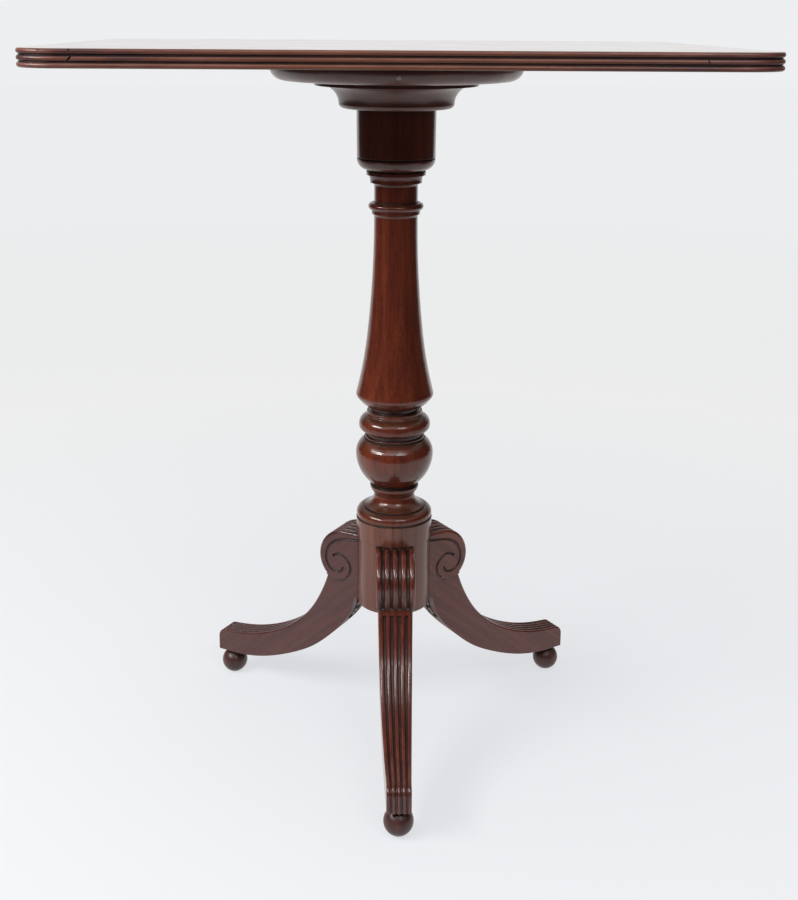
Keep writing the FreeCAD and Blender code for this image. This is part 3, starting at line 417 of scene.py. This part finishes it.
# Strap and screws. A smith's spider of blackened iron ties the legs under the drum, and countersunk
# steel screws hold it and the plate.
BLACK_SKIN = (0.035, 0.032, 0.030)
RUST = (0.090, 0.040, 0.022)
iron, tree, surface = new_finish("blackened_iron")
place = put(tree, "TexCoord").outputs["Object"]
scale = put(tree, "TexNoise", {"Vector": place, "Scale": 260.0, "Detail": 6.0, "Roughness": 0.7})
scale = scale.outputs["Fac"]
spots = put(tree, "TexNoise", {"Vector": place, "Scale": 45.0, "Detail": 4.0}).outputs["Fac"]
skin = mixed(tree, "MIX", shades(tree, spots, [(0.52, 0.0), (0.70, 0.6)]), BLACK_SKIN, RUST)
skin = mixed(tree, "MULTIPLY", 0.6, skin, shades(tree, scale, [(0.3, 0.4), (0.7, 1.0)]))
tree.links.new(skin, surface.inputs["Base Color"])
tree.links.new(shades(tree, scale, [(0.3, 0.66), (0.7, 0.82)]), surface.inputs["Roughness"])
pits = put(tree, "Bump", {"Height": scale, "Strength": 0.1, "Distance": 0.15 * MM})
tree.links.new(pits.outputs[0], surface.inputs["Normal"])
surface.inputs["Specular IOR Level"].default_value = 0.06
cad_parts["leg_strap"].data.materials.clear()
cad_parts["leg_strap"].data.materials.append(iron)

STEEL_COLOURS = ((0.07, 0.066, 0.060), (0.17, 0.16, 0.145))
steel, tree, surface = new_finish("dull_steel")
place = put(tree, "TexCoord").outputs["Object"]
marks = put(tree, "TexNoise", {"Vector": place, "Scale": 900.0, "Detail": 3.0}).outputs["Fac"]
tree.links.new(shades(tree, marks, [(0.3, STEEL_COLOURS[0]), (0.7, STEEL_COLOURS[1])]),
               surface.inputs["Base Color"])
tree.links.new(shades(tree, marks, [(0.3, 0.30), (0.7, 0.50)]), surface.inputs["Roughness"])
surface.inputs["Metallic"].default_value = 1.0

SLOT = (10.0, 1.1, 2.6)  # the saw's cut through a screw's face: length, width and height, in millimetres
chance = random.Random(7)
for node in ("boss_screws", "block_screws", "strap_screws"):
    screws = blank_from(node, "slotted_" + node)
    bpy.ops.object.mode_set(mode="EDIT")
    bpy.ops.mesh.select_all(action="SELECT")
    bpy.ops.mesh.dissolve_limited(angle_limit=math.radians(1))
    bpy.ops.object.mode_set(mode="OBJECT")
    faces = screws.data.polygons
    widest = max(face.area for face in faces)
    heads = [(face.center.copy(), face.normal.copy()) for face in faces if face.area > widest * 0.9]
    cuts = []
    for spot, outward in heads:
        lie = Matrix.Rotation(chance.uniform(0, math.pi), 3, "Z").to_quaternion()
        turn = outward.to_track_quat("Z", "Y") @ lie
        bpy.ops.mesh.primitive_cube_add(size=MM, location=spot, rotation=turn.to_euler(), scale=SLOT)
        cuts.append(bpy.context.active_object)
    cut_away(screws, cuts)
    fitted(screws, steel, "screw_steel", node)


# Studio. A white paper floor that runs back into a white wall, softboxes at the front and above, and
# the dark of the room behind the camera, which the polish shows as well.
FLOOR_RADIUS = 14
FLOOR_DROP = 0.2  # how far the paper lies under the feet, in millimetres
PAPER_TONES_SHADED = [  # how white the camera sees it, from the table outwards, painted darker near the table as its shade
    (0.0, (0.62, 0.63, 0.66)), (0.06, (0.66, 0.67, 0.70)), (0.16, (0.745, 0.75, 0.755)),
    (0.5, (0.84, 0.85, 0.86))]
PAPER_WHITE = 0.92  # how bright the polish sees the paper, and the dark of the room
ROOM_DARK = 0.05
LIT_FRONT = (-1.15, -0.75)  # the paper's light fades between these places in front, in metres
LIT_SIDES = (1.15, 1.45)  # and between these at the sides, which spread towards the back
bpy.ops.object.select_all(action="DESELECT")
bpy.ops.mesh.primitive_circle_add(vertices=96, radius=FLOOR_RADIUS, fill_type="NGON",
                                  location=(0, 0, -FLOOR_DROP * MM))
floor = bpy.context.active_object
floor.name = "paper_floor"
bpy.ops.object.transform_apply(location=True, rotation=True, scale=True)
paper = bpy.data.materials.new("white_paper")
paper.use_nodes = True
tree = paper.node_tree
tree.nodes.clear()
place = put(tree, "TexCoord").outputs["Object"]
apart = put(tree, "VectorMath", {0: place}, operation="LENGTH").outputs["Value"]
parts = put(tree, "SeparateXYZ", {"Vector": place})
near = put(tree, "MapRange", {"Value": apart, "From Min": 0.0, "From Max": 8.0}).outputs[0]
# The paper is painted darker near the table: painted shade.
shaded_paper = shades(tree, near, PAPER_TONES_SHADED)
catch = shades(tree, near, [(0.05, 0.24), (0.5, 0.0)])
ahead = put(tree, "MapRange", {"Value": parts.outputs["Y"], "From Min": LIT_FRONT[0],
                               "From Max": LIT_FRONT[1]}).outputs[0]
spread = put(tree, "MapRange", {"Value": parts.outputs["Y"], "From Max": 10.0, "To Max": 6.0}).outputs[0]
aside = put(tree, "Math", {0: parts.outputs["X"]}, operation="ABSOLUTE").outputs[0]
aside = put(tree, "Math", {0: aside, 1: spread}, operation="SUBTRACT").outputs[0]
aside = put(tree, "MapRange", {"Value": aside, "From Min": LIT_SIDES[0], "From Max": LIT_SIDES[1],
                               "To Min": 1.0, "To Max": 0.0}).outputs[0]
bright = put(tree, "Math", {0: ahead, 1: aside}, operation="MULTIPLY").outputs[0]
bright = put(tree, "MapRange", {"Value": bright, "To Min": ROOM_DARK, "To Max": PAPER_WHITE}).outputs[0]
glow = put(tree, "Emission", {"Color": shaded_paper, "Strength": 1.0})
soft = put(tree, "BsdfDiffuse", {"Color": catch})
shown = put(tree, "AddShader", {0: glow.outputs[0], 1: soft.outputs[0]})
rays = put(tree, "LightPath")
bounce = put(tree, "Math", {0: rays.outputs["Is Glossy Ray"], 1: 0.55, 2: 0.45}, operation="MULTIPLY_ADD")
lit = put(tree, "Emission", {"Color": bright, "Strength": bounce.outputs[0]})
both = put(tree, "MixShader", {0: rays.outputs["Is Camera Ray"], 1: lit.outputs[0], 2: shown.outputs[0]})
under = put(tree, "NewGeometry").outputs["Backfacing"]
clear = put(tree, "BsdfTransparent")
both = put(tree, "MixShader", {0: under, 1: both.outputs[0], 2: clear.outputs[0]})
put(tree, "OutputMaterial", {"Surface": both.outputs[0]})
floor.data.materials.append(paper)

WALL_SEEN = (0.85, 0.86, 0.87, 1)
CEILING = (0.40, 0.39, 0.35)
LIT_BACK = (0.62, 0.90)  # how far towards the back the white wall starts, and where it is full
WALL_TOP = (0.22, 0.45)  # how high it starts to fade, and where it has faded
world = bpy.data.worlds.new("studio")
bpy.context.scene.world = world
world.use_nodes = True
tree = world.node_tree
tree.nodes.clear()
parts = put(tree, "SeparateXYZ", {"Vector": put(tree, "TexCoord").outputs["Generated"]})
back = put(tree, "MapRange", {"Value": parts.outputs["Y"], "From Min": LIT_BACK[0],
                              "From Max": LIT_BACK[1]}).outputs[0]
low = put(tree, "MapRange", {"Value": parts.outputs["Z"], "From Min": WALL_TOP[0],
                             "From Max": WALL_TOP[1], "To Min": 1.0, "To Max": 0.15}).outputs[0]
back = put(tree, "Math", {0: back, 1: low}, operation="MULTIPLY").outputs[0]
back = put(tree, "MapRange", {"Value": back, "To Min": 0.04, "To Max": PAPER_WHITE}).outputs[0]
ceiling = shades(tree, parts.outputs["Z"], [(0.42, 0.0), (0.62, CEILING)])
room = put(tree, "Background", {"Color": mixed(tree, "ADD", 1.0, back, ceiling), "Strength": 1.0})
wall = put(tree, "Background", {"Color": WALL_SEEN, "Strength": 1.0})
rays = put(tree, "LightPath")
both = put(tree, "MixShader", {0: rays.outputs["Is Camera Ray"], 1: room.outputs[0], 2: wall.outputs[0]})
put(tree, "OutputWorld", {"Surface": both.outputs[0]})

LAMPS = [  # name, place, width, height, watts
    ("left_softbox", (-1.21, -0.60, 1.15), 0.95, 0.18, 17.0),
    ("right_softbox", (0.55, -1.20, 1.35), 0.70, 0.14, 4.0),
    ("link_strip", (-0.15, -1.25, 1.24), 2.00, 0.09, 2.9),
    ("top_softbox", (0.0, -0.56, 1.74), 1.30, 1.40, 5.0)]
LAMPS_AIM = Vector((0, 0, 0.35))
for name, place, width, height, watts in LAMPS:
    lamp = bpy.data.lights.new(name, "AREA")
    lamp.shape, lamp.size, lamp.size_y, lamp.energy = "RECTANGLE", width, height, watts
    holder = bpy.data.objects.new(name, lamp)
    bpy.context.collection.objects.link(holder)
    holder.location = place
    holder.rotation_euler = (LAMPS_AIM - Vector(place)).to_track_quat("-Z", "Y").to_euler()

scene = bpy.context.scene
scene.view_settings.view_transform = "Standard"
camera = bpy.data.objects.new("camera", bpy.data.cameras.new("camera"))
bpy.context.collection.objects.link(camera)
camera.data.sensor_width = 36
camera.data.lens = 51.4
camera.data.shift_y = -0.15
camera.location = (-0.036, -1.274, 0.745)
YAW, PITCH, ROLL = 1.79, 13.02, 0.39  # to the right, down and over, in degrees
aim = Matrix.Rotation(math.radians(-YAW), 3, "Z") @ Matrix.Rotation(math.radians(90 - PITCH), 3, "X")
camera.rotation_euler = (aim @ Matrix.Rotation(math.radians(ROLL), 3, "Z")).to_euler()
scene.camera = camera
